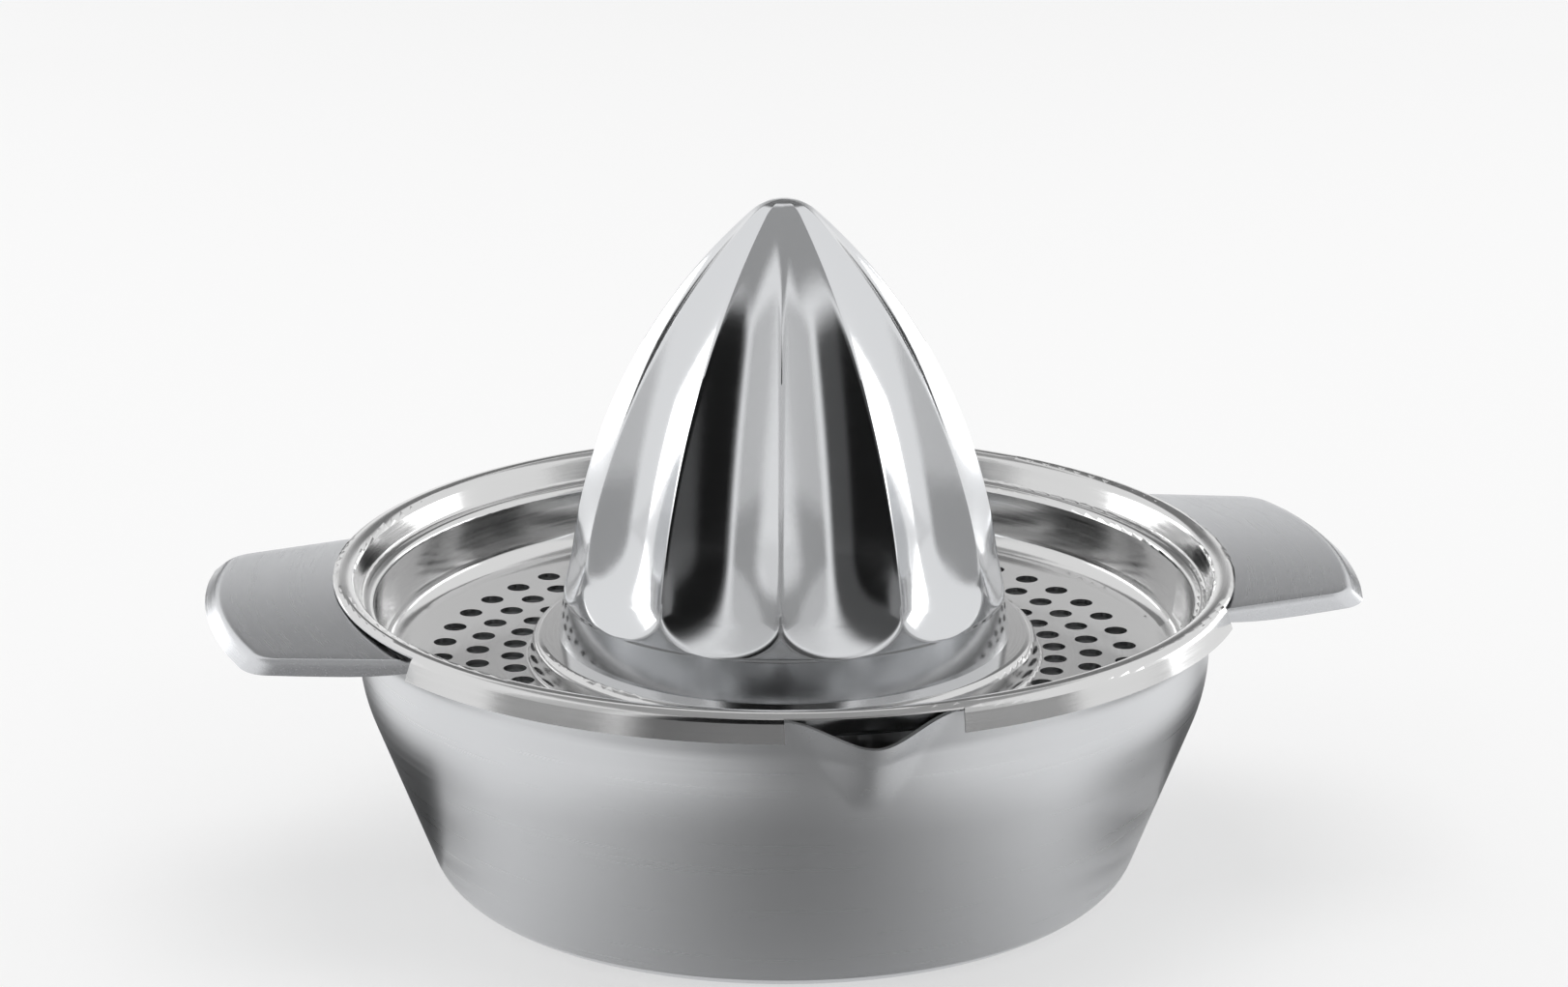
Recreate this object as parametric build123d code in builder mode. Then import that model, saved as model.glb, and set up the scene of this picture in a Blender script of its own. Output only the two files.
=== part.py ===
"""Hand citrus press: a steel bowl with spout and handles, and a lift-off strainer with a fluted cone."""
import os
from math import acos, asin, cos, degrees, pi, radians, sin, sqrt, tan

from build123d import *

# All lengths are in millimetres. Z is up from the foot, the spout looks along -Y, the handles along X.
overrun = 4.0

# Bowl: one drawn shell with a flat foot, a tapered wall, a straight band and a flared rim
bowl_sheet = 0.8
band_radius = 62.0
band_height = 8.6
wall_taper = 21.0
foot_corner_radius = 7.0
knee_radius = 26.0
rim_height = 44.9
flare_height = 5.5
flare_lean = 18.0
flare_bend_radius = 5.0

# Spout: the rim pushed out in a bell curve that fades down the wall, under a lip that dips
spout_half_width = 12.0
spout_foot_half_width = 2.6
spout_reach = 5.2
spout_rise = 13.5
lip_dip = 3.4

# Handles: shallow trays whose edges turn down, bowed at the tip
handle_sheet = 0.9
handle_rise = 0.5
handle_length = 18.2
handle_root_half_width = 27.3
handle_narrowing = 4.5
handle_tip_bow = 3.6
handle_corner_radius = 5.0
handle_edge_depth = 1.9
handle_root_rise = 1.2
handle_tip_rise = 0.2
handle_edge_flare = 1.6
handle_tip_flare = 2.2
handle_fold_radius = 1.2
handle_droop = 1.2

# Strainer: a perforated dish whose rim rolls over the bowl's rim and hangs down as a skirt
strainer_sheet = 0.7
seat_clearance = 0.1
dish_clearance = 0.9
dish_depth = 9.8
dish_draft = 1.1
dish_corner_radius = 3.0
ledge_drop = 2.3
ledge_radius = 1.1
crease_radius = 0.7
bead_height = 4.3
bead_width = 2.8
bead_drop = 0.5
bead_radius = 1.7
skirt_height = 3.6
skirt_flare = 1.0
boss_radius = 36.5
boss_height = 3.6
boss_draft = 0.9
boss_edge_radius = 1.3
boss_foot_radius = 0.6

# Slots in the strainer's rim, where the skirt and the outer side of the bead are trimmed away
trim_inset = 0.1
handle_slot_clearance = 0.3
spout_slot_clearance = 0.3
slot_gap = 0.25

# Strainer holes: three staggered rings
hole_radius = 1.7
hole_ring_radius = 39.7
hole_ring_pitch = 5.2
hole_rings = 3
holes_per_ring = 46

# Reaming cone: a hollow pressing, a plain wall under an ogive with concave flutes
cone_sheet = 0.8
cone_foot_radius = 33.0
cone_wall_height = 10.15
ogive_radius = 86.4
ogive_inset = 0.8
ogive_drop = 0.4
nose_radius = 7.0
flute_count = 11
flute_turn = -11.7
flute_radius = 20.0
flute_start = 12.6
flute_start_depth = 3.98
flute_end_share = 0.484
flute_middle_share = 0.5
ridge_land = 0.9

# Places that follow from the sizes above
flare = tan(radians(flare_lean))
flare_thickening = 1 / cos(radians(flare_lean))
flare_start = rim_height - flare_height
knee_height = flare_start - band_height
rim_radius = band_radius + flare_height * flare
ledge_height = rim_height - ledge_drop
plate_height = ledge_height - dish_depth
boss_top = plate_height + boss_height
dish_radius = band_radius - bowl_sheet - dish_clearance - strainer_sheet
seat_inset = (bowl_sheet + seat_clearance + strainer_sheet) * flare_thickening
crease = band_radius - seat_inset + (ledge_height - flare_start) * flare
bead_top = ledge_height + bead_height
bead = crease + bead_height * flare
fold = bead + bead_width
half_pitch = pi / flute_count
cusp_height = boss_top + cone_wall_height
ogive_centre = boss_top - ogive_drop
ogive_offset = ogive_radius - cone_foot_radius + ogive_inset
nose_lean = acos(ogive_offset / (ogive_radius - nose_radius))
nose_centre = ogive_centre + (ogive_radius - nose_radius) * sin(nose_lean)
flute_bearing = flute_turn - 90 + 180 / flute_count
handle_setback = rim_radius - sqrt(rim_radius**2 - handle_root_half_width**2)
handle_root_widest = handle_root_half_width + handle_narrowing * handle_setback / handle_length
handle_slot = handle_root_widest + handle_edge_flare + handle_slot_clearance
slot_setback = rim_radius - sqrt(rim_radius**2 - handle_slot**2)
handle_top = rim_height + handle_rise
slot_top = handle_top + slot_setback * tan(radians(handle_droop)) + slot_gap
handle_plane = Plane(
    origin=(rim_radius, 0, handle_top),
    x_dir=(cos(radians(handle_droop)), 0, -sin(radians(handle_droop))),
    z_dir=(sin(radians(handle_droop)), 0, cos(radians(handle_droop))),
)


def bowl_outline(inset):
    """Half section of the bowl as a filled shape, drawn in by the sheet's thickness for the inside."""
    slope = tan(radians(wall_taper))
    lean = 1 / cos(radians(wall_taper))
    band = band_radius - inset
    knee = knee_height + inset * (lean - 1) / slope
    foot = band_radius - (knee_height - inset) * slope - inset * lean
    bend = flare_start + inset * (flare_thickening - 1) / flare
    top = rim_height + (overrun if inset else 0)
    rim = rim_radius - inset * flare_thickening + (top - rim_height) * flare
    with BuildSketch(Plane.XZ) as outline:
        with BuildLine():
            corners = (0, inset), (foot, inset), (band, knee), (band, bend), (rim, top), (0, top)
            Polyline(*corners, close=True)
        make_face()
        fillet(outline.vertices().sort_by_distance((foot, inset))[0], foot_corner_radius - inset)
        fillet(outline.vertices().sort_by_distance((band, knee))[0], knee_radius - inset)
        fillet(outline.vertices().sort_by_distance((band, bend))[0], flare_bend_radius + inset)
    return outline.sketch


def spout_block(inset):
    """Bell curve that widens from a narrow foot in the wall up to the rim, drawn in for the inside."""
    spout_foot = rim_height - spout_rise
    with BuildPart() as block:
        for level in (spout_foot, rim_height + (overrun if inset else 0)):
            share = (level - spout_foot) / spout_rise
            half_width = spout_foot_half_width + (spout_half_width - spout_foot_half_width) * share - inset
            wall = band_radius - bowl_sheet + (rim_radius - band_radius + bowl_sheet) * share - inset
            side = sqrt(wall**2 - half_width**2)
            back = side - spout_half_width
            with BuildSketch(Plane.XY.offset(level)):
                with BuildLine():
                    Spline(
                        (-half_width, -side),
                        (0, -wall - spout_reach * share),
                        (half_width, -side),
                        tangents=((side, -half_width), (side, half_width)),
                    )
                    Polyline(
                        (half_width, -side), (half_width, -back), (-half_width, -back), (-half_width, -side)
                    )
                make_face()
        loft(ruled=True)
    return block.part


def handle_outline(inset, flare_share):
    """Plan of a handle from inside the bowl to its bowed tip, widened by the flare of its lower edge."""
    root = -2 * handle_setback
    tip = handle_length - inset + handle_tip_flare * flare_share
    corner = tip - handle_tip_bow
    half_width = handle_root_half_width + handle_edge_flare * flare_share - inset
    root_half = half_width - handle_narrowing * root / handle_length
    tip_half = half_width - handle_narrowing * corner / handle_length
    with BuildSketch() as outline:
        with BuildLine():
            Polyline((corner, -tip_half), (root, -root_half), (root, root_half), (corner, tip_half))
            ThreePointArc((corner, tip_half), (tip, 0), (corner, -tip_half))
        make_face()
        fillet(outline.vertices().sort_by(Axis.X)[-2:], handle_corner_radius - inset)
    return outline.sketch


def handle_block(inset):
    """Flared block of a handle, cut at its root by the bowl's rim, drawn in for the inside."""
    with BuildPart() as block:
        with BuildSketch(handle_plane.offset(-handle_edge_depth)):
            add(handle_outline(inset, 1))
        with BuildSketch(handle_plane.offset(-inset)):
            add(handle_outline(inset, 0))
        loft(ruled=True)
        if not inset:
            fillet(block.faces().sort_by(Axis.Z)[-1].edges(), handle_fold_radius)
        with Locations((0, 0, flare_start)):
            Cone(
                band_radius + inset,
                rim_radius + overrun * flare + inset,
                flare_height + overrun,
                align=(Align.CENTER, Align.CENTER, Align.MIN),
                mode=Mode.SUBTRACT,
            )
    return block.part


def strainer_profile():
    """Sheet section of the strainer from the opening under the cone to the skirt's lower edge."""
    points = (
        (cone_foot_radius - 2 * cone_sheet, boss_top),
        (boss_radius, boss_top),
        (boss_radius + boss_draft, plate_height),
        (dish_radius - dish_draft, plate_height),
        (dish_radius, ledge_height),
        (crease, ledge_height),
        (bead, bead_top),
        (fold, bead_top - bead_drop),
        (fold + skirt_flare, bead_top - bead_drop - skirt_height),
    )
    bends = (
        boss_edge_radius,
        boss_foot_radius,
        dish_corner_radius,
        ledge_radius,
        crease_radius,
        bead_radius,
        bead_radius,
    )
    with BuildSketch(Plane.XZ) as profile:
        with BuildLine() as line:
            Polyline(*points)
            for point, bend in zip(points[1:-1], bends):
                fillet(line.vertices().sort_by_distance(point)[0], bend)
            offset(amount=strainer_sheet, side=Side.RIGHT)
        make_face()
    return profile.sketch


def ogive_lean(level, inset=0):
    """Angle of the ogive's outward direction over the horizontal at one level."""
    return asin((level - ogive_centre) / (ogive_radius - inset))


def flute_place(level, depth=None):
    """Point on a flute's axis; without a depth, the one that leaves the ridge land between two flutes."""
    lean = ogive_lean(level)
    ridge = ogive_radius * cos(lean) - ogive_offset
    if depth is None:
        half_chord = ridge * sin(half_pitch) - ridge_land / 2
        cross = ridge / cos(lean)
        sagitta = cross - sqrt(cross**2 - half_chord**2)
        depth = flute_radius - sqrt(flute_radius**2 - half_chord**2) + sagitta
    reach = flute_radius - depth
    return (ridge + reach * cos(lean), level + reach * sin(lean))


def flute_cutter(inset):
    """Round bar along an arc with a blunt elliptic lower end, made larger for the inside of the sheet."""
    start = boss_top + flute_start
    end = nose_centre + nose_radius * sin(nose_lean)
    middle = start + (end - start) * flute_middle_share
    with BuildPart() as cutter:
        with BuildLine(Plane.XZ) as path:
            ThreePointArc(flute_place(start, flute_start_depth), flute_place(middle), flute_place(end))
        along = path.line % 0
        with BuildSketch(Plane(origin=path.line @ 0, z_dir=along)):
            Circle(flute_radius + inset)
        sweep(path=path.line)
        with BuildSketch(Plane(origin=path.line @ 0, x_dir=along, z_dir=(0, -1, 0))):
            Ellipse(flute_end_share * flute_radius + inset, flute_radius + inset)
            side = 2 * flute_radius
            Rectangle(side, side, align=(Align.CENTER, Align.MIN), mode=Mode.INTERSECT)
        revolve(axis=Axis(path.line @ 0, along))
    return cutter.part


def cone_block(inset):
    """Plain wall, ogive and round nose with the flutes cut in, drawn in for the inside."""
    lean = degrees(ogive_lean(cusp_height, inset))
    nose_start = degrees(nose_lean)
    base = boss_top - (overrun if inset else 0)
    cutter = flute_cutter(inset)
    with BuildPart() as block:
        with BuildSketch(Plane.XZ):
            with BuildLine():
                ogive = CenterArc((-ogive_offset, ogive_centre), ogive_radius - inset, lean, nose_start - lean)
                nose = CenterArc((0, nose_centre), nose_radius - inset, nose_start, 90 - nose_start)
                Polyline(nose @ 1, (0, base), (cone_foot_radius - inset, base), ogive @ 0)
            make_face()
        revolve(axis=Axis.Z)
        with PolarLocations(0, flute_count, start_angle=flute_bearing):
            add(cutter, mode=Mode.SUBTRACT)
    return block.part


with BuildPart() as bowl:
    add(bowl_outline(0))
    revolve(axis=Axis.Z)
    add(spout_block(0))
    add(bowl_outline(bowl_sheet))
    revolve(axis=Axis.Z, mode=Mode.SUBTRACT)
    add(spout_block(bowl_sheet), mode=Mode.SUBTRACT)
    with BuildSketch(Plane.XZ.offset(band_radius - spout_half_width)):
        with BuildLine():
            lip = Spline(
                (-spout_half_width, rim_height),
                (0, rim_height - lip_dip),
                (spout_half_width, rim_height),
                tangents=((1, 0), (1, 0)),
            )
            Polyline(
                lip @ 1,
                (spout_half_width, rim_height + overrun),
                (-spout_half_width, rim_height + overrun),
                lip @ 0,
            )
        make_face()
    extrude(amount=2 * spout_half_width, mode=Mode.SUBTRACT)

with BuildPart() as handle_right:
    add(handle_block(0))
    add(handle_block(handle_sheet), mode=Mode.SUBTRACT)
    with BuildSketch(Plane(origin=handle_plane.origin, x_dir=handle_plane.x_dir, z_dir=(0, -1, 0))):
        root = -2 * handle_setback
        tip = handle_length + handle_tip_flare
        with BuildLine():
            edge = ThreePointArc(
                (root, handle_root_rise - handle_edge_depth),
                ((root + tip) / 2, -handle_edge_depth),
                (tip, handle_tip_rise - handle_edge_depth),
            )
            below = -handle_edge_depth - overrun
            Polyline(edge @ 1, (tip, below), (root, below), edge @ 0)
        make_face()
    extrude(amount=2 * handle_root_half_width, both=True, mode=Mode.SUBTRACT)

with BuildPart() as handle_left:
    add(handle_right.part)
    mirror(about=Plane.YZ, mode=Mode.REPLACE)

with BuildPart() as strainer:
    add(strainer_profile())
    revolve(axis=Axis.Z)
    for keep_radius, slot_height in ((fold - trim_inset, bead_top + overrun), (rim_radius, slot_top)):
        with BuildSketch(Plane.XY.offset(slot_height)):
            Rectangle(4 * fold, 2 * handle_slot)
            with Locations((0, -fold)):
                Rectangle(2 * (spout_half_width + spout_slot_clearance), 2 * spout_half_width)
            Circle(keep_radius, mode=Mode.SUBTRACT)
        extrude(amount=plate_height - slot_height, mode=Mode.SUBTRACT)
    with BuildSketch(Plane.XY.offset(plate_height)):
        for ring in range(hole_rings):
            start = 180 / holes_per_ring * (ring % 2)
            radius = hole_ring_radius + hole_ring_pitch * ring
            with PolarLocations(radius, holes_per_ring, start_angle=start):
                Circle(hole_radius)
    extrude(amount=overrun, both=True, mode=Mode.SUBTRACT)

with BuildPart() as reaming_cone:
    add(cone_block(0))
    add(cone_block(cone_sheet), mode=Mode.SUBTRACT)

os.makedirs("parts", exist_ok=True)
for name, piece in (
    ("bowl", bowl),
    ("handle_right", handle_right),
    ("handle_left", handle_left),
    ("strainer", strainer),
    ("reaming_cone", reaming_cone),
):
    piece.part.label = name
    export_step(piece.part, f"parts/{name}.step")
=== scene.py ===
"""Looks of the citrus press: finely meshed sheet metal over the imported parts, steel materials, studio."""
import math

import bpy
import numpy as np
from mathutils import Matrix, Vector


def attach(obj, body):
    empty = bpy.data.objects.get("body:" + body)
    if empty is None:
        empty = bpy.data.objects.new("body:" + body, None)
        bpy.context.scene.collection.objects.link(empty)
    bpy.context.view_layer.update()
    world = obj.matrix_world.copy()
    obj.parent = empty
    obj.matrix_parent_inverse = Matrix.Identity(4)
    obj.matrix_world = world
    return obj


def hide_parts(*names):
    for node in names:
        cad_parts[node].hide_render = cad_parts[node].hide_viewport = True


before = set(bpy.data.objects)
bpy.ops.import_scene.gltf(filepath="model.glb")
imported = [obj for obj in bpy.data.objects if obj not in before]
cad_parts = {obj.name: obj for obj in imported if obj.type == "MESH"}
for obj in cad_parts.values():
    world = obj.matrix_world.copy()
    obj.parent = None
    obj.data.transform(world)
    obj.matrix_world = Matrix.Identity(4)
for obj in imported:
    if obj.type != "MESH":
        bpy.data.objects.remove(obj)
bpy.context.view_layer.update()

MM = 0.001
TINY = 1e-6
STRAIGHT = 1e-4
MERGE_DISTANCE = 2e-6
SMOOTH_ANGLE = math.radians(40)
scene = bpy.context.scene
scene.view_settings.view_transform = "Standard"

# Bowl, in millimetres as all sizes of the pieces
BOWL_SHEET = 0.8
BAND_RADIUS = 62.0
BAND_HEIGHT = 8.6
WALL_TAPER = math.radians(21)
FOOT_CORNER_RADIUS = 7.0
KNEE_RADIUS = 26.0
RIM_HEIGHT = 44.9
FLARE_HEIGHT = 5.5
FLARE_LEAN = math.radians(18)
FLARE_BEND_RADIUS = 5.0
RIM_RADIUS = BAND_RADIUS + FLARE_HEIGHT * math.tan(FLARE_LEAN)
FLARE_START = RIM_HEIGHT - FLARE_HEIGHT
KNEE_HEIGHT = FLARE_START - BAND_HEIGHT
RIM_EDGE_CROWN = 0.18

# Spout pressed into the bowl's front
SPOUT_HALF_WIDTH = 12.0
SPOUT_FOOT_HALF_WIDTH = 2.6
SPOUT_REACH = 5.2
SPOUT_RISE = 13.5
SPOUT_MARGIN = 3.0
LIP_DIP = 3.4
LIP_START = FLARE_START - 1.5

# Level of the strainer's boss, on which the cone stands
LEDGE_DROP = 2.3
DISH_DEPTH = 9.8
BOSS_HEIGHT = 3.6
BOSS_TOP = RIM_HEIGHT - LEDGE_DROP - DISH_DEPTH + BOSS_HEIGHT

# Handles
HANDLE_SHEET = 0.9
HANDLE_RISE = 0.5
HANDLE_LENGTH = 18.2
HANDLE_HALF_WIDTH = 27.3
HANDLE_NARROWING = 4.5
HANDLE_TIP_BOW = 3.6
HANDLE_CORNER_RADIUS = 5.0
HANDLE_EDGE_DEPTH = 1.9
HANDLE_EDGE_FLARE = 1.6
HANDLE_TIP_FLARE = 2.2
HANDLE_ROOT_RISE = 1.2
HANDLE_TIP_RISE = 0.2
HANDLE_ROOT_REACH = 12.2
HANDLE_DROOP = math.radians(1.2)
HANDLE_CROWN = 0.7
HANDLE_LIFT = 0.25
HANDLE_GAP = 0.02
HANDLE_FOLD = 0.6
HANDLE_FOLD_SHARE = 0.35
HANDLE_EDGE_ROUND = 0.12
HANDLE_EDGE_CROWN = 0.04

# Cone
CONE_SHEET = 0.8
CONE_FOOT_RADIUS = 33.0
CONE_WALL_HEIGHT = 10.15
OGIVE_RADIUS = 86.4
OGIVE_INSET = 0.8
OGIVE_DROP = 0.4
NOSE_RADIUS = 7.0
FLUTES = 11
FLUTE_TURN = math.radians(-11.7)
FLUTE_RADIUS = 15.0
FLUTE_FOOT = 6.0
FLUTE_CUSP = 11.2
FLUTE_RUN = 15.0
FLUTE_LEAST_WIDTH = 1e-3
FLUTE_LEAST_LEAN = 0.05
FLUTE_ACROSS_LIMIT = 2.0
RIDGE_SOFTNESS = 0.3

# How finely the pieces are meshed: steps in millimetres or degrees, shares, otherwise counts
SECTION_STEP = 1.1
SECTION_CORNER_STEPS = 14
ANGLE_STEP = 1.25
SPOUT_ANGLE_STEP = 0.3
SPOUT_ANGLE_REACH = 15
SPOUT_BEARING = -90
FOOT_LEVELS = 5
SCALLOP_LEVELS = 24
OGIVE_LEVELS = 110
OGIVE_CROWDING = 1.3
NOSE_LEVELS = 13
STEPS_PER_FLUTE = 44
RIDGE_CROWDING = 0.4
INNER_LEVEL_STRIDE = 4
TIP_POINTS = 41
TIP_CORNER_POINTS = 6
HANDLE_CORNER_STEPS = 12
HANDLE_SIDE_STEPS = 16
HANDLE_ROOT_POINTS = 60
HANDLE_TOP_LOOPS = 15
HANDLE_FOLD_LOOPS = 9
HANDLE_BEVEL_LOOPS = (0.35, 0.7, 0.9, 1 - HANDLE_EDGE_CROWN)
HANDLE_UNDER_LOOPS = 9
ROOT_ROUNDS = 20


def rounded(points, radii, steps):
    """Polyline with each inner corner replaced by a sampled arc."""
    out = [np.array(points[0], float)]
    for before, here, after, radius in zip(points, points[1:], points[2:], radii):
        before, here, after = (np.array(p, float) for p in (before, here, after))
        a = (before - here) / np.linalg.norm(before - here)
        b = (after - here) / np.linalg.norm(after - here)
        half = math.acos(np.clip(a @ b, -1, 1)) / 2
        if radius <= 0 or half > math.pi / 2 - STRAIGHT:
            out.append(here)
            continue
        centre = here + (a + b) / np.linalg.norm(a + b) * radius / math.sin(half)
        start = here + a * radius / math.tan(half) - centre
        end = here + b * radius / math.tan(half) - centre
        turn = math.atan2(start[0] * end[1] - start[1] * end[0], start @ end)
        for k in range(steps + 1):
            c, s = math.cos(turn * k / steps), math.sin(turn * k / steps)
            out.append(centre + np.array([c * start[0] - s * start[1], s * start[0] + c * start[1]]))
    out.append(np.array(points[-1], float))
    return np.array(out)


def divided(start, end, count):
    """Points of a straight run, its end left out."""
    return [start + (end - start) * k / count for k in range(count)]


def resampled(line, step):
    """The same polyline with long runs divided."""
    out = []
    for a, b in zip(line, line[1:]):
        out += divided(a, b, max(1, math.ceil(np.linalg.norm(b - a) / step)))
    return np.array([*out, line[-1]])


def grid_mesh(name, points):
    """Quad mesh from an array of points (rows, columns, xyz) in millimetres, closed along the rows."""
    rows, columns = points.shape[:2]
    row, column = np.meshgrid(np.arange(rows - 1), np.arange(columns), indexing="ij")
    here, beside = row * columns + column, row * columns + (column + 1) % columns
    faces = np.stack([here, beside, beside + columns, here + columns], axis=-1).reshape(-1, 4)
    mesh = bpy.data.meshes.new(name)
    mesh.from_pydata((points.reshape(-1, 3) * MM).tolist(), [], faces.tolist())
    return mesh


def piece(name, mesh, material, body, node):
    """Smooth shaded object that stands for a CAD node."""
    obj = bpy.data.objects.new(name, mesh)
    scene.collection.objects.link(obj)
    bpy.ops.object.select_all(action="DESELECT")
    obj.select_set(True)
    bpy.context.view_layer.objects.active = obj
    bpy.ops.object.mode_set(mode="EDIT")
    bpy.ops.mesh.select_all(action="SELECT")
    bpy.ops.mesh.remove_doubles(threshold=MERGE_DISTANCE)
    bpy.ops.mesh.normals_make_consistent(inside=False)
    bpy.ops.object.mode_set(mode="OBJECT")
    obj.data.shade_smooth()
    bpy.ops.object.shade_smooth_by_angle(angle=SMOOTH_ANGLE)
    obj.data.materials.append(material)
    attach(obj, body)
    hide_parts(node)


def turned(line, angles):
    """Points of a profile (radius, height) turned to a set of angles."""
    r, z = line[:, :1], line[:, 1:]
    return np.stack([r * np.cos(angles), r * np.sin(angles), z + 0 * angles], axis=-1)


def bell(t):
    """Smooth hump: 1 in the middle, 0 from 1 outwards."""
    t = np.clip(np.abs(t), 0, 1)
    return 1 - 3 * t**2 + 2 * t**3


def bowl_points(inset, angles):
    """Bowl wall from the middle of the foot to the rim, with spout and lip, as a grid of points."""
    lean, slope = 1 / math.cos(WALL_TAPER), math.tan(WALL_TAPER)
    thick, flare = 1 / math.cos(FLARE_LEAN), math.tan(FLARE_LEAN)
    corners = [
        (0, inset),
        (BAND_RADIUS - (KNEE_HEIGHT - inset) * slope - inset * lean, inset),
        (BAND_RADIUS - inset, KNEE_HEIGHT + inset * (lean - 1) / slope),
        (BAND_RADIUS - inset, FLARE_START + inset * (thick - 1) / flare),
        (RIM_RADIUS - inset * thick, RIM_HEIGHT),
    ]
    radii = (FOOT_CORNER_RADIUS - inset, KNEE_RADIUS - inset, FLARE_BEND_RADIUS + inset)
    points = turned(resampled(rounded(corners, radii, SECTION_CORNER_STEPS), SECTION_STEP), angles)
    x, y, z = (points[..., k] for k in range(3))
    near = (y < 0) & (np.abs(x) < SPOUT_HALF_WIDTH + SPOUT_MARGIN)

    # The lip dips, and stays on the flared wall as it does
    share = np.clip((z - LIP_START) / (RIM_HEIGHT - LIP_START), 0, 1)
    drop = np.where(near, LIP_DIP * bell(x / SPOUT_HALF_WIDTH) * share, 0)
    r = np.maximum(np.hypot(x, y), TINY)
    scale = (r - drop * flare * np.clip((z - FLARE_START) / FLARE_HEIGHT, 0, 1)) / r
    x, y, z = x * scale, y * scale, z - drop

    # The spout bulges forward, wider and further towards the rim
    share = np.clip((z - (RIM_HEIGHT - SPOUT_RISE)) / SPOUT_RISE, 0, 1)
    half = SPOUT_FOOT_HALF_WIDTH + (SPOUT_HALF_WIDTH - SPOUT_FOOT_HALF_WIDTH) * share - inset
    over = np.where(near, SPOUT_REACH * share * bell(x / half), 0)
    return np.stack([x, y - over, z], axis=-1)


def bowl_angles():
    """Angles round the axis, closer together at the spout."""
    near = np.arange(-SPOUT_ANGLE_REACH, SPOUT_ANGLE_REACH, SPOUT_ANGLE_STEP)
    count = int((360 - 2 * SPOUT_ANGLE_REACH) / ANGLE_STEP)
    far = np.linspace(SPOUT_ANGLE_REACH, 360 - SPOUT_ANGLE_REACH, count, endpoint=False)
    return np.radians(SPOUT_BEARING + np.concatenate([near, far]))


def bowl_sheet():
    """Whole bowl as a grid of points: up its outside, over the rim's crowned edge and down its inside."""
    angles = bowl_angles()
    outer, inner = bowl_points(0, angles), bowl_points(BOWL_SHEET, angles)
    edge = (outer[-1] + inner[-1]) / 2 + np.array([0, 0, RIM_EDGE_CROWN])
    return np.concatenate([outer, edge[None], inner[::-1]])


def cone_profile():
    """Outline of the cone without flutes, from its foot to the tip of the nose, with its outward normals."""
    centre_z = BOSS_TOP - OGIVE_DROP
    offset = OGIVE_RADIUS - CONE_FOOT_RADIUS + OGIVE_INSET
    nose_lean = math.acos(offset / (OGIVE_RADIUS - NOSE_RADIUS))
    nose_z = centre_z + (OGIVE_RADIUS - NOSE_RADIUS) * math.sin(nose_lean)
    wall_lean = math.asin((BOSS_TOP + CONE_WALL_HEIGHT - centre_z) / OGIVE_RADIUS)
    lean = wall_lean + (nose_lean - wall_lean) * np.linspace(0, 1, OGIVE_LEVELS) ** OGIVE_CROWDING
    tip = np.linspace(nose_lean, math.pi / 2, NOSE_LEVELS + 1)[1:]
    ogive = np.column_stack([OGIVE_RADIUS * np.cos(lean) - offset, centre_z + OGIVE_RADIUS * np.sin(lean)])
    nose = np.column_stack([NOSE_RADIUS * np.cos(tip), nose_z + NOSE_RADIUS * np.sin(tip)])
    nose[-1, 0] = 0
    foot = np.array([CONE_FOOT_RADIUS, BOSS_TOP])
    middle = (foot + ogive[0]) / 2
    wall = divided(foot, middle, FOOT_LEVELS) + divided(middle, ogive[0], SCALLOP_LEVELS)
    line = np.concatenate([wall, ogive, nose])
    along = np.gradient(line, axis=0)
    along /= np.linalg.norm(along, axis=1)[:, None]
    return line, np.column_stack([along[:, 1], -along[:, 0]])


def flute_depth(line, normal, turn):
    """Depth of one flute below the outline, by level and by angle from the flute's middle."""
    r, level = line[:, :1], line[:, 1:] - BOSS_TOP
    half = np.maximum(r * math.sin(math.pi / FLUTES), FLUTE_LEAST_WIDTH)
    cross = np.maximum(r / np.maximum(normal[:, :1], FLUTE_LEAST_LEAN), half)
    full = FLUTE_RADIUS - np.sqrt(FLUTE_RADIUS**2 - half**2) + cross - np.sqrt(cross**2 - half**2)
    run = np.clip((level - FLUTE_FOOT) / FLUTE_RUN, 0, 1)
    up = np.clip((level - FLUTE_FOOT) / (FLUTE_CUSP - FLUTE_FOOT), 0, 1)
    width = half * np.sqrt(1 - (1 - up) ** 2) + FLUTE_LEAST_WIDTH
    across = np.clip(r * np.sin(turn) / width, -FLUTE_ACROSS_LIMIT, FLUTE_ACROSS_LIMIT)
    depth = full * (1 - (1 - run) ** 2) * (1 - across**2)
    near_ridge = np.maximum(RIDGE_SOFTNESS - np.abs(depth), 0) / RIDGE_SOFTNESS
    return np.maximum(depth, 0) + near_ridge**2 * RIDGE_SOFTNESS / 4


def cone_sheet():
    """Fluted cone as a grid of points (level, angle), down its inside and up its outside."""
    line, normal = cone_profile()
    pitch = 2 * math.pi / FLUTES
    across = np.linspace(-1, 1, STEPS_PER_FLUTE, endpoint=False)
    turn = pitch / 2 * ((1 - RIDGE_CROWDING) * across + RIDGE_CROWDING * np.sin(across * math.pi / 2))
    depth = np.tile(flute_depth(line, normal, turn), (1, FLUTES))
    depth[-1] = depth[-1].min()
    first = FLUTE_TURN - math.pi / 2 + pitch / 2
    angle = (first + turn + np.arange(FLUTES)[:, None] * pitch).ravel()

    def skin(inset):
        r = np.maximum(line[:, :1] - (depth + inset) * normal[:, :1], 0)
        z = np.maximum(line[:, 1:] - (depth + inset) * normal[:, 1:], BOSS_TOP)
        return np.stack([r * np.cos(angle), r * np.sin(angle), z], axis=-1)

    inside = skin(CONE_SHEET)
    return np.concatenate([inside[::-INNER_LEVEL_STRIDE], inside[:1], skin(0)])


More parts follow.
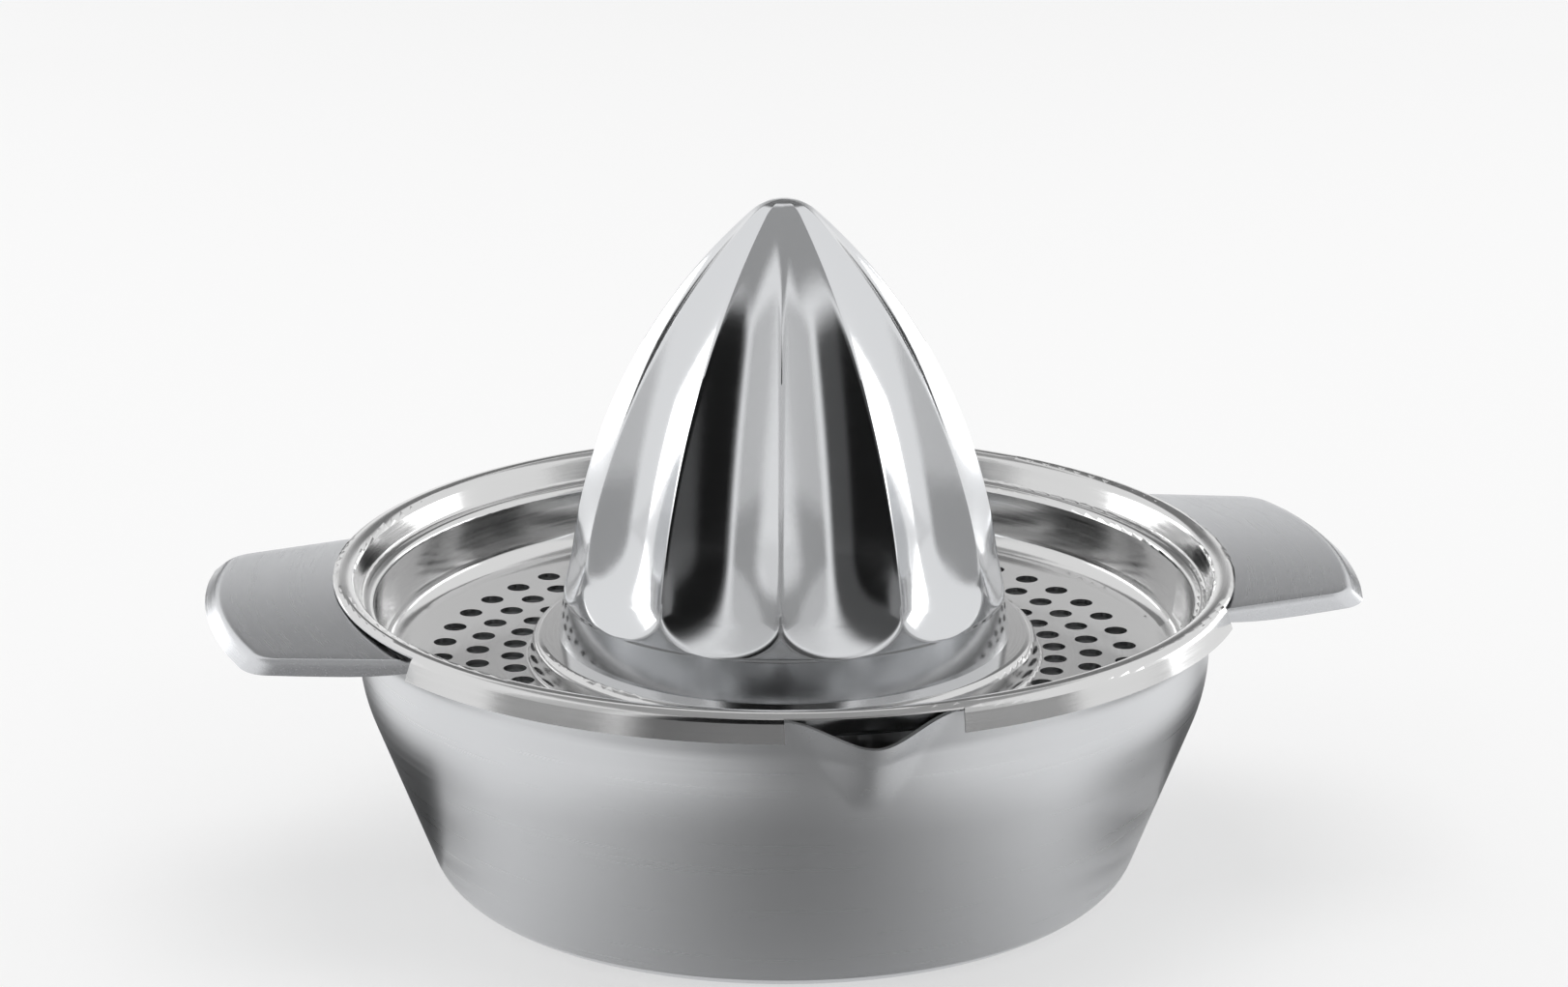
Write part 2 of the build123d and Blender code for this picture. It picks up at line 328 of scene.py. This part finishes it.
def handle_loop(inset, share, depth):
    """Closed plan outline of the right handle at one depth, root arc last, as points (x, y, depth)."""
    wall = RIM_RADIUS + (HANDLE_RISE - depth) * math.tan(FLARE_LEAN) + HANDLE_GAP
    half = HANDLE_HALF_WIDTH + HANDLE_EDGE_FLARE * share - inset
    tip = HANDLE_LENGTH + HANDLE_TIP_FLARE * share - inset
    slope = HANDLE_NARROWING / HANDLE_LENGTH
    root = 0.0
    for _ in range(ROOT_ROUNDS):
        root = math.sqrt(wall**2 - (half - slope * root) ** 2) - RIM_RADIUS
    root_half, tip_half = half - slope * root, half - slope * (tip - HANDLE_TIP_BOW)
    bow = (tip_half**2 + HANDLE_TIP_BOW**2) / (2 * HANDLE_TIP_BOW)
    lean = np.linspace(-1, 1, TIP_POINTS) * math.asin(tip_half / bow)
    arc = np.column_stack([tip - bow + bow * np.cos(lean), bow * np.sin(lean)])
    between = arc[TIP_CORNER_POINTS:-TIP_CORNER_POINTS]
    side = np.array([root, -root_half])
    corner_radius = HANDLE_CORNER_RADIUS - inset
    radii = [corner_radius] + [0] * len(between) + [corner_radius]
    edge = rounded([side, arc[0], *between, arc[-1], side * (1, -1)], radii, HANDLE_CORNER_STEPS)
    runs = divided(edge[0], edge[1], HANDLE_SIDE_STEPS) + list(edge[1:-2])
    runs += divided(edge[-2], edge[-1], HANDLE_SIDE_STEPS) + [edge[-1]]
    y = np.linspace(root_half, -root_half, HANDLE_ROOT_POINTS)[1:-1]
    rim = np.column_stack([np.sqrt(wall**2 - y**2) - RIM_RADIUS, y])
    loop = np.concatenate([np.array(runs), rim])
    return np.column_stack([loop, np.full(len(loop), float(depth))])


def handle_sheet():
    """Right handle as a stack of loops: crowned top, rounded fold, bevel, lower edge and hollow underside."""
    centre = np.array([HANDLE_LENGTH / 2, 0, 0])
    under = centre + (0, 0, HANDLE_SHEET)
    flat = handle_loop(HANDLE_FOLD, 0, 0)
    top, low = handle_loop(0, 0, 0), handle_loop(0, 1, HANDLE_EDGE_DEPTH)
    inner_top = handle_loop(HANDLE_SHEET, 0, HANDLE_SHEET)
    inner_low = handle_loop(HANDLE_SHEET, 1, HANDLE_EDGE_DEPTH)
    tip = HANDLE_LENGTH + HANDLE_TIP_FLARE
    middle, reach = (tip - HANDLE_ROOT_REACH) / 2, (tip + HANDLE_ROOT_REACH) / 2

    def trimmed(above, below, start):
        """Lower edge of a bevel, which rises in an arc towards the handle's root and tip."""
        across = (below[:, 0] - middle) / reach
        rise = np.where(across < 0, HANDLE_ROOT_RISE, HANDLE_TIP_RISE) * across**2
        share = (HANDLE_EDGE_DEPTH - rise - start) / (HANDLE_EDGE_DEPTH - start)
        return above + (below - above) * share[:, None]

    edge = trimmed(top, low, 0)
    inner_edge = trimmed(inner_top, inner_low, HANDLE_SHEET)
    bend = top + (edge - top) * HANDLE_FOLD_SHARE
    rounding = HANDLE_EDGE_ROUND * (inner_edge - edge)
    fold = np.linspace(0, 1, HANDLE_FOLD_LOOPS)[1:]
    loops = [centre + (flat - centre) * s for s in np.linspace(0, 1, HANDLE_TOP_LOOPS)]
    loops += [(1 - u) ** 2 * flat + 2 * u * (1 - u) * top + u**2 * bend for u in fold]
    loops += [bend + (edge - bend) * u for u in HANDLE_BEVEL_LOOPS]
    loops += [edge + rounding, inner_edge - rounding, inner_edge]
    loops += [inner_edge + (inner_top - inner_edge) * u for u in (0.5, 1)]
    loops += [under + (inner_top - under) * s for s in np.linspace(1, 0, HANDLE_UNDER_LOOPS)[1:]]
    x, y, depth = np.moveaxis(np.stack(loops), -1, 0)
    depth = depth - HANDLE_LIFT + HANDLE_CROWN * (y / HANDLE_HALF_WIDTH) ** 2
    c, s = math.cos(HANDLE_DROOP), math.sin(HANDLE_DROOP)
    top_z = RIM_HEIGHT + HANDLE_RISE
    return np.stack([RIM_RADIUS + x * c - depth * s, y, top_z - x * s - depth * c], axis=-1)


def new_material(name):
    """Material with nodes, its node tree and its main shader."""
    material = bpy.data.materials.new(name)
    material.use_nodes = True
    return material, material.node_tree, material.node_tree.nodes["Principled BSDF"]


def math_node(tree, operation, *values):
    """Result of a sum on sockets and numbers."""
    node = tree.nodes.new("ShaderNodeMath")
    node.operation = operation
    for socket, value in zip(node.inputs, values):
        if isinstance(value, (int, float)):
            socket.default_value = value
        else:
            tree.links.new(value, socket)
    return node.outputs[0]


def mapped(tree, value, from_range, to_range, interpolation="LINEAR"):
    """Value taken from one range to another, and held at the ends."""
    node = tree.nodes.new("ShaderNodeMapRange")
    node.interpolation_type = interpolation
    node.inputs["From Min"].default_value, node.inputs["From Max"].default_value = from_range
    node.inputs["To Min"].default_value, node.inputs["To Max"].default_value = to_range
    tree.links.new(value, node.inputs["Value"])
    return node.outputs["Result"]


def mixed(tree, share, first, second):
    """Mix of two shaders."""
    node = tree.nodes.new("ShaderNodeMixShader")
    for socket, source in zip(node.inputs, (share, first, second)):
        tree.links.new(source, socket)
    return node.outputs[0]


def place_axes(tree):
    """The object's own X, Y and Z at each point."""
    split = tree.nodes.new("ShaderNodeSeparateXYZ")
    tree.links.new(tree.nodes.new("ShaderNodeTexCoord").outputs["Object"], split.inputs[0])
    return split.outputs["X"], split.outputs["Y"], split.outputs["Z"]


def background_ray(tree):
    """1 for the rays that show the background: from the camera, mirrored, or through something clear."""
    rays = tree.nodes.new("ShaderNodeLightPath").outputs
    either = math_node(tree, "MAXIMUM", rays["Is Camera Ray"], rays["Is Glossy Ray"])
    return math_node(tree, "MAXIMUM", either, rays["Is Transmission Ray"])


MARKS_PER_RADIAN = 1.2
MARK_DEPTH = 0.00002
MARK_DETAIL = 4.0
MARK_NOISE_RANGE = (0.3, 0.7)
QUARTER_TURN = 0.25


def steel(name, colour, roughness, spread, marks_per_metre, bump, anisotropy=0.0):
    """Steel with fine marks that run round the axis; they vary its roughness and its surface a little."""
    material, tree, shader = new_material(name)
    shader.inputs["Base Color"].default_value = (*colour, 1)
    shader.inputs["Metallic"].default_value = 1.0
    shader.inputs["Anisotropic"].default_value = anisotropy
    shader.inputs["Anisotropic Rotation"].default_value = QUARTER_TURN
    x, y, z = place_axes(tree)
    flat = tree.nodes.new("ShaderNodeCombineXYZ")
    tree.links.new(x, flat.inputs["X"])
    tree.links.new(y, flat.inputs["Y"])
    radius = tree.nodes.new("ShaderNodeVectorMath")
    radius.operation = "LENGTH"
    tree.links.new(flat.outputs[0], radius.inputs[0])
    marks = tree.nodes.new("ShaderNodeCombineXYZ")
    for socket, source, factor in (
        ("X", math_node(tree, "ARCTAN2", y, x), MARKS_PER_RADIAN),
        ("Y", z, marks_per_metre),
        ("Z", radius.outputs["Value"], marks_per_metre),
    ):
        tree.links.new(math_node(tree, "MULTIPLY", source, factor), marks.inputs[socket])
    noise = tree.nodes.new("ShaderNodeTexNoise")
    noise.inputs["Scale"].default_value = 1.0
    noise.inputs["Detail"].default_value = MARK_DETAIL
    tree.links.new(marks.outputs[0], noise.inputs["Vector"])
    rough = mapped(tree, noise.outputs["Fac"], MARK_NOISE_RANGE, (roughness - spread, roughness + spread))
    tree.links.new(rough, shader.inputs["Roughness"])
    raised = tree.nodes.new("ShaderNodeBump")
    raised.inputs["Strength"].default_value = bump
    raised.inputs["Distance"].default_value = MARK_DEPTH
    tree.links.new(noise.outputs["Fac"], raised.inputs["Height"])
    tree.links.new(raised.outputs["Normal"], shader.inputs["Normal"])
    if anisotropy:
        tangent = tree.nodes.new("ShaderNodeTangent")
        tangent.direction_type = "RADIAL"
        tangent.axis = "Z"
        tree.links.new(tangent.outputs["Tangent"], shader.inputs["Tangent"])
    return material


bowl_satin = steel(
    "bowl_satin_steel", (0.70, 0.71, 0.725),
    roughness=0.30, spread=0.03, marks_per_metre=3000, bump=0.04, anisotropy=0.6,
)
handle_satin = steel(
    "handle_satin_steel", (0.65, 0.66, 0.68),
    roughness=0.25, spread=0.03, marks_per_metre=4000, bump=0.03,
)
strainer_bright = steel(
    "strainer_bright_steel", (0.66, 0.66, 0.66),
    roughness=0.13, spread=0.04, marks_per_metre=2500, bump=0.15,
)
cone_polished = steel(
    "cone_polished_steel", (0.67, 0.68, 0.695),
    roughness=0.12, spread=0.015, marks_per_metre=900, bump=0.02,
)

mesh = grid_mesh("bowl_sheet", bowl_sheet())
piece("bowl_shell", mesh, bowl_satin, "bowl", "bowl")
mesh = grid_mesh("cone_sheet", cone_sheet())
piece("cone_pressing", mesh, cone_polished, "insert", "reaming_cone")
handle = handle_sheet()
for side, mirror in (("right", 1), ("left", -1)):
    mesh = grid_mesh(f"handle_sheet_{side}", handle * (mirror, 1, 1))
    piece(f"{side}_handle_tray", mesh, handle_satin, "bowl", f"handle_{side}")

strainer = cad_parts["strainer"]
strainer.data.materials.clear()
strainer.data.materials.append(strainer_bright)

# Studio, in metres: floor, cards, softboxes, world and camera
CAMERA_TURN = math.radians(10.8)
CAMERA_RISE = math.radians(17.3)
CAMERA_DISTANCE = 0.7
CAMERA_AIM = Vector((0, 0, 0.057))
SENSOR_WIDTH = 36.0
PHOTO_WIDTH = 1622
FOCAL_LENGTH_PIXELS = 4994
FLOOR_REACH = 12.0
FLOOR_DROP = 0.0002
FLOOR_GREY = 0.93
FLOOR_ROUGHNESS = 0.9
FLOOR_WHITE_SHARE = 0.5
LYING_CARD_HEIGHT = 0.002
LIGHT_AIM = (0, 0, 0.05)
WORLD_LIGHT = 0.7
WHITE = (1, 1, 1, 1)


def rectangle(name, half_width, half_length, material):
    """Flat rectangle round the origin, as part of the stage."""
    w, h = half_width, half_length
    mesh = bpy.data.meshes.new(name)
    mesh.from_pydata([(-w, -h, 0), (w, -h, 0), (w, h, 0), (-w, h, 0)], [], [(0, 1, 2, 3)])
    mesh.materials.append(material)
    obj = bpy.data.objects.new(name, mesh)
    scene.collection.objects.link(obj)
    return obj


def floor():
    """Pale floor that keeps shadows and is half white by itself where it is seen as the background."""
    material, tree, shader = new_material("floor_pale")
    shader.inputs["Base Color"].default_value = (FLOOR_GREY, FLOOR_GREY, FLOOR_GREY, 1)
    shader.inputs["Roughness"].default_value = FLOOR_ROUGHNESS
    share = math_node(tree, "MULTIPLY", background_ray(tree), FLOOR_WHITE_SHARE)
    white = tree.nodes.new("ShaderNodeEmission")
    white.inputs["Strength"].default_value = 1.0
    surface = mixed(tree, share, shader.outputs[0], white.outputs[0])
    tree.links.new(surface, tree.nodes["Material Output"].inputs["Surface"])
    rectangle("floor", FLOOR_REACH, FLOOR_REACH, material).location.z = -FLOOR_DROP


def around(bearing, distance, height):
    """Place round the object, by its bearing from the camera's side in degrees."""
    angle = math.radians(bearing - 90) - CAMERA_TURN
    return (distance * math.cos(angle), distance * math.sin(angle), height)


def aimed(obj, place, target, front):
    """Puts an object at a place with its front axis towards a target."""
    obj.location = place
    obj.rotation_euler = (Vector(target) - Vector(place)).to_track_quat(front, "Y").to_euler()


def card(name, place, target, size, grey, fade):
    """Plain matt card that only reflections see; it fades out over a share of its half width and height."""
    material, tree, shader = new_material(name)
    shader.inputs["Base Color"].default_value = (grey, grey, grey, 1)
    shader.inputs["Roughness"].default_value = 1.0
    shader.inputs["Specular IOR Level"].default_value = 0.0
    halves = (size[0] / 2, size[1] / 2)
    solid = math_node(tree, "MULTIPLY", *(
        mapped(tree, math_node(tree, "ABSOLUTE", axis), (half * (1 - share), half), (1.0, 0.0), "SMOOTHSTEP")
        for axis, half, share in zip(place_axes(tree), halves, fade)
    ))
    clear = tree.nodes.new("ShaderNodeBsdfTransparent")
    surface = mixed(tree, solid, clear.outputs[0], shader.outputs[0])
    tree.links.new(surface, tree.nodes["Material Output"].inputs["Surface"])
    obj = rectangle(name, *halves, material)
    aimed(obj, place, target, "Z")
    obj.visible_camera = False
    obj.visible_shadow = False
    obj.visible_diffuse = False
    return obj


def upright_card(name, bearing, distance, height, size, grey, fade):
    """Card that stands round the object and faces its axis."""
    card(name, around(bearing, distance, height), (0, 0, height), size, grey, fade)


def lying_card(name, place, size, grey, fade, turn=0.0):
    """Card that lies just over the floor."""
    obj = card(name, (*place, LYING_CARD_HEIGHT), (*place, 1), size, grey, fade)
    obj.rotation_euler.z -= turn


def softbox(name, place, size, power):
    """Rectangular lamp that faces the object."""
    lamp = bpy.data.lights.new(name, "AREA")
    lamp.shape = "RECTANGLE"
    lamp.size, lamp.size_y = size
    lamp.energy = power
    obj = bpy.data.objects.new(name, lamp)
    scene.collection.objects.link(obj)
    aimed(obj, place, LIGHT_AIM, "-Z")
    return obj


floor()
upright_card("front_card", -12, 0.58, 0.40, size=(0.40, 1.1), grey=0.012, fade=(0.35, 0.5))
upright_card("front_grey_card", -1, 0.66, 0.42, size=(1.02, 1.2), grey=0.10, fade=(0.3, 0.5))
upright_card("near_card", 2, 0.10, 0.043, size=(0.20, 0.026), grey=0.32, fade=(0.9, 0.15))
lying_card("front_floor_card", (-0.012, -0.17), size=(0.20, 0.34), grey=0.28, fade=(1.0, 0.5))
for name, side in (("left", -1), ("right", 1)):
    upright_card(f"{name}_light_card", side * 56, 0.70, 0.40, size=(0.46, 0.9), grey=0.70, fade=(0.5, 0.3))
    upright_card(f"{name}_low_card", side * 56, 0.66, 0.05, size=(0.44, 0.26), grey=0.45, fade=(0.5, 0.5))
    upright_card(f"{name}_back_flag", side * 152, 0.60, 0.03, size=(0.30, 0.16), grey=0.03, fade=(0.6, 0.3))
    # Near-black cards lying on the floor beside the bowl, under the handles, which only reflections see:
    # painted shade of the floor there, which the bowl's sides mirror as dark edges
    beside_bowl = around(side * 109 - 3, 0.085, 0)[:2]
    painted_shade_turn = math.radians(side * 14) + CAMERA_TURN
    lying_card(f"{name}_floor_painted_shade", beside_bowl, (0.07, 0.15), grey=0.02, fade=(0.7, 0.5), turn=painted_shade_turn)
    softbox(f"{name}_softbox", around(side * 124, 0.80, 0.13), size=(0.58, 0.24), power=0.9)
softbox("top_softbox", (0.0, 0.1, 0.95), size=(0.8, 0.6), power=2.4).visible_glossy = False
upright_card("back_card", 180, 0.9, 0.70, size=(1.1, 1.0), grey=0.28, fade=(0.3, 0.5))
card("ceiling_card", (0, 0, 1.4), (0, 0, 0), size=(2.0, 2.0), grey=0.55, fade=(0.3, 0.3))

# World: white where it is seen, softer as light
world = bpy.data.worlds.new("studio")
scene.world = world
world.use_nodes = True
tree = world.node_tree
light, seen = tree.nodes["Background"], tree.nodes.new("ShaderNodeBackground")
for background, strength in ((light, WORLD_LIGHT), (seen, 1.0)):
    background.inputs["Color"].default_value = WHITE
    background.inputs["Strength"].default_value = strength
surface = mixed(tree, background_ray(tree), light.outputs[0], seen.outputs[0])
tree.links.new(surface, tree.nodes["World Output"].inputs["Surface"])

# Camera at the photograph's viewing angle
camera_data = bpy.data.cameras.new("camera")
camera_data.sensor_width = SENSOR_WIDTH
camera_data.lens = FOCAL_LENGTH_PIXELS / PHOTO_WIDTH * SENSOR_WIDTH
camera = bpy.data.objects.new("camera", camera_data)
scene.collection.objects.link(camera)
back = Vector((-math.sin(CAMERA_TURN), -math.cos(CAMERA_TURN), math.tan(CAMERA_RISE))) * math.cos(CAMERA_RISE)
aimed(camera, CAMERA_AIM + CAMERA_DISTANCE * back, CAMERA_AIM, "-Z")
scene.camera = camera
